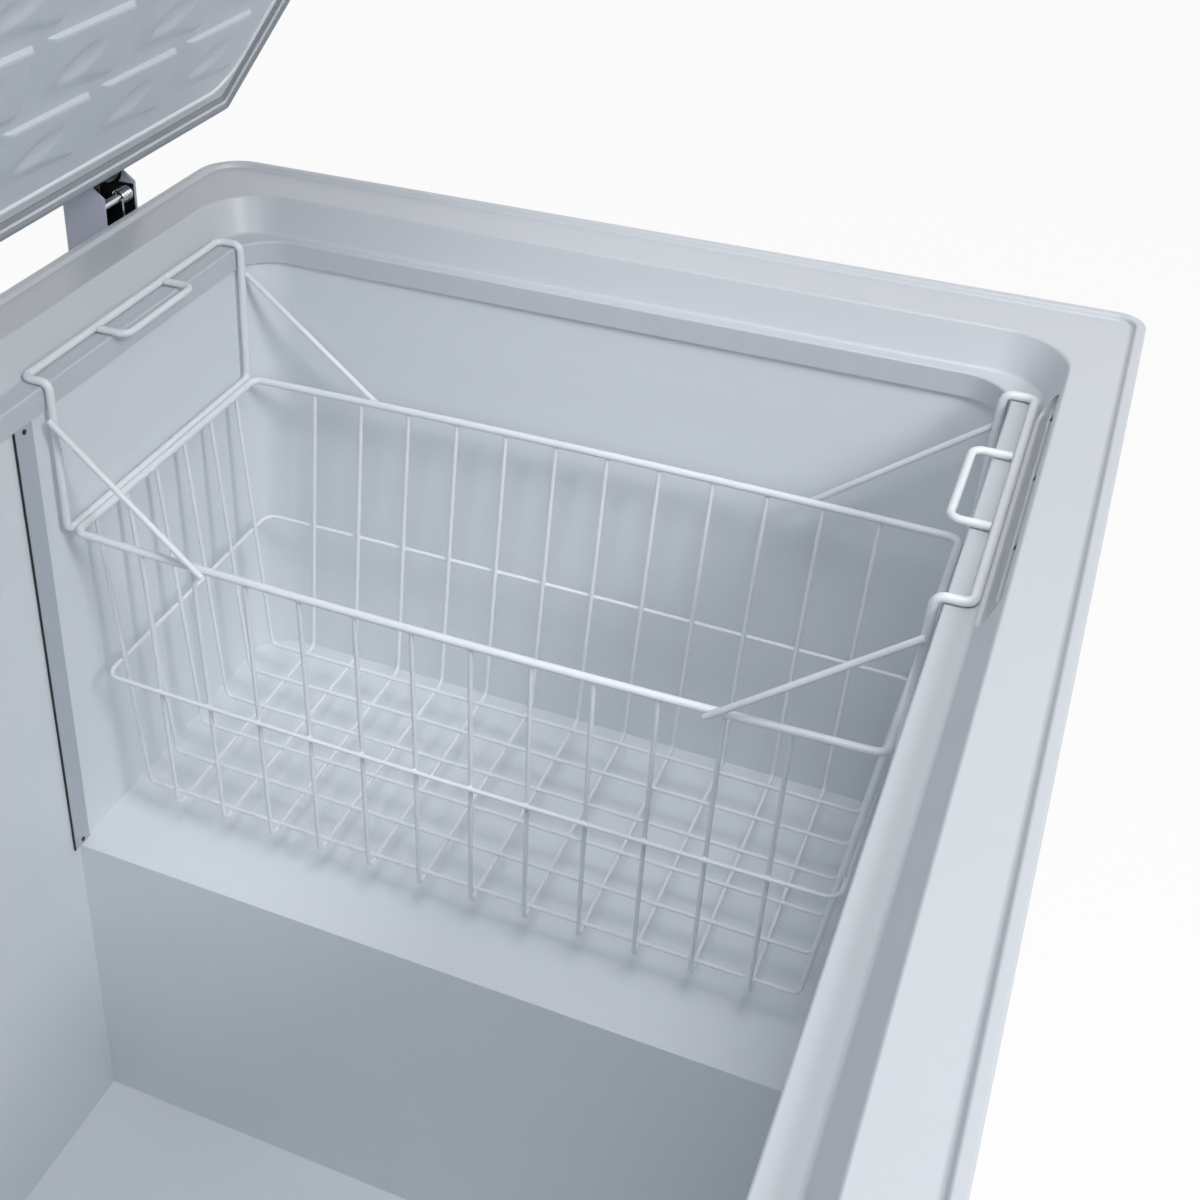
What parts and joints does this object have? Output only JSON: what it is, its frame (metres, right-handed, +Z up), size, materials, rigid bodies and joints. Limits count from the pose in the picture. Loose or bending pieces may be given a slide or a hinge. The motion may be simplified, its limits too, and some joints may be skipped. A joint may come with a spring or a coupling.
{
  "type": "chest freezer",
  "caption": "Household chest freezer with its insulated lid propped open, a lit frame, a step over the machine room and a wire basket hung on the ledge.",
  "frame": {"origin": "on the floor under the middle of the whole object's box, with the lid open as at rest", "axes": "+Z up, +X to the right end as seen from the front, +Y to the back where the hinges are"},
  "size_m": [1.1, 0.6752, 1.3011],
  "materials": {
    "white_paint": "gloss",
    "frame_plastic": "satin",
    "liner_sheet": "satin",
    "seam_metal": "satin",
    "lid_liner_plastic": "satin",
    "gasket_vinyl": "matte",
    "foam": "matte",
    "zinc_steel": "satin",
    "chrome_steel": "polished",
    "copper_tube": "satin",
    "black_enamel": "gloss",
    "black_plastic": "matte",
    "mount_rubber": "matte",
    "clear_plastic": "gloss",
    "board": "matte",
    "white_plastic": "satin",
    "lens_green": "gloss",
    "lens_red": "gloss",
    "lens_amber": "gloss",
    "basket_wire": "gloss"
  },
  "bodies": {
    "cabinet": {"cabinet_shell": "white_paint", "hinge_housing_left": "white_paint", "hinge_housing_right": "white_paint", "top_frame": "frame_plastic", "inner_liner": "liner_sheet", "liner_seam_strip_front": "seam_metal", "liner_seam_strip_back": "seam_metal", "cabinet_foam": "foam", "back_panel": "zinc_steel", "base_pan": "zinc_steel", "machine_room_grille": "zinc_steel", "hinge_pin_left": "chrome_steel", "hinge_pin_right": "chrome_steel", "hinge_spring_left": "chrome_steel", "hinge_spring_right": "chrome_steel", "evaporator_coil": "copper_tube", "condenser_coil": "copper_tube", "discharge_tube": "copper_tube", "filter_drier": "copper_tube", "compressor": "black_enamel", "start_relay": "black_plastic", "power_inlet_gland": "black_plastic", "thermostat_body": "black_plastic", "lamp_cover": "clear_plastic", "lamp_board": "board", "lamp_housing": "white_plastic", "control_bezel": "white_plastic", "drain_tube": "white_plastic", "indicator_power": "lens_green", "indicator_alarm": "lens_red", "indicator_freeze": "lens_amber", "compressor_mount_1": "mount_rubber", "compressor_mount_2": "mount_rubber", "compressor_mount_3": "mount_rubber", "compressor_mount_4": "mount_rubber"},
    "lid": {"lid_skin": "white_paint", "lid_foam": "foam", "lid_liner": "lid_liner_plastic", "lid_gasket": "gasket_vinyl", "lid_handle": "white_plastic", "hinge_leaf_left": "zinc_steel", "hinge_leaf_right": "zinc_steel"},
    "basket": {"basket_ring": "basket_wire", "basket_cage": "basket_wire", "basket_hanger_front": "basket_wire", "basket_hanger_back": "basket_wire", "basket_handle_front": "basket_wire", "basket_handle_back": "basket_wire", "basket_brace_front_left": "basket_wire", "basket_brace_front_right": "basket_wire", "basket_brace_back_left": "basket_wire", "basket_brace_back_right": "basket_wire"},
    "thermostat_knob": {"thermostat_knob": "white_plastic"},
    "fast_freeze_switch": {"fast_freeze_switch": "white_plastic"},
    "drain_plug": {"drain_plug": "white_plastic"},
    "drain_cap": {"drain_cap": "white_plastic"},
    "foot_front_left": {"foot_front_left": "black_plastic"},
    "foot_front_right": {"foot_front_right": "black_plastic"},
    "foot_back_left": {"foot_back_left": "black_plastic"},
    "foot_back_right": {"foot_back_right": "black_plastic"}
  },
  "joints": [
    {"name": "lid_hinge", "type": "hinge", "parent": "cabinet", "child": "lid", "pos_m": [0, 0.31823, 0.7246], "axis": [-1, 0, 0], "range_deg": [-56.5, 28.5]},
    {"name": "basket_slide", "type": "slide", "parent": "cabinet", "child": "basket", "axis": [1, 0, 0], "range_m": [-0.7, 0]},
    {"name": "thermostat_turn", "type": "hinge", "parent": "cabinet", "child": "thermostat_knob", "pos_m": [0.448, -0.32527, 0.09], "axis": [0, -1, 0], "range_deg": [-135, 135]},
    {"name": "fast_freeze_rock", "type": "hinge", "parent": "cabinet", "child": "fast_freeze_switch", "pos_m": [0.392, -0.32407, 0.09], "axis": [-1, 0, 0], "range_deg": [0, 10.5]},
    {"name": "drain_plug_pull", "type": "slide", "parent": "cabinet", "child": "drain_plug", "axis": [0, 0, 1], "range_m": [0, 0.04]},
    {"name": "drain_cap_pull", "type": "slide", "parent": "cabinet", "child": "drain_cap", "axis": [0, -1, 0], "range_m": [0, 0.03]},
    {"name": "foot_front_left_turn", "type": "hinge", "parent": "cabinet", "child": "foot_front_left", "pos_m": [-0.488, -0.26337, 0.02], "axis": [0, 0, 1], "continuous": true},
    {"name": "foot_front_right_turn", "type": "hinge", "parent": "cabinet", "child": "foot_front_right", "pos_m": [0.488, -0.26337, 0.02], "axis": [0, 0, 1], "continuous": true},
    {"name": "foot_back_left_turn", "type": "hinge", "parent": "cabinet", "child": "foot_back_left", "pos_m": [-0.488, 0.23263, 0.02], "axis": [0, 0, 1], "continuous": true},
    {"name": "foot_back_right_turn", "type": "hinge", "parent": "cabinet", "child": "foot_back_right", "pos_m": [0.488, 0.23263, 0.02], "axis": [0, 0, 1], "continuous": true}
  ]
}
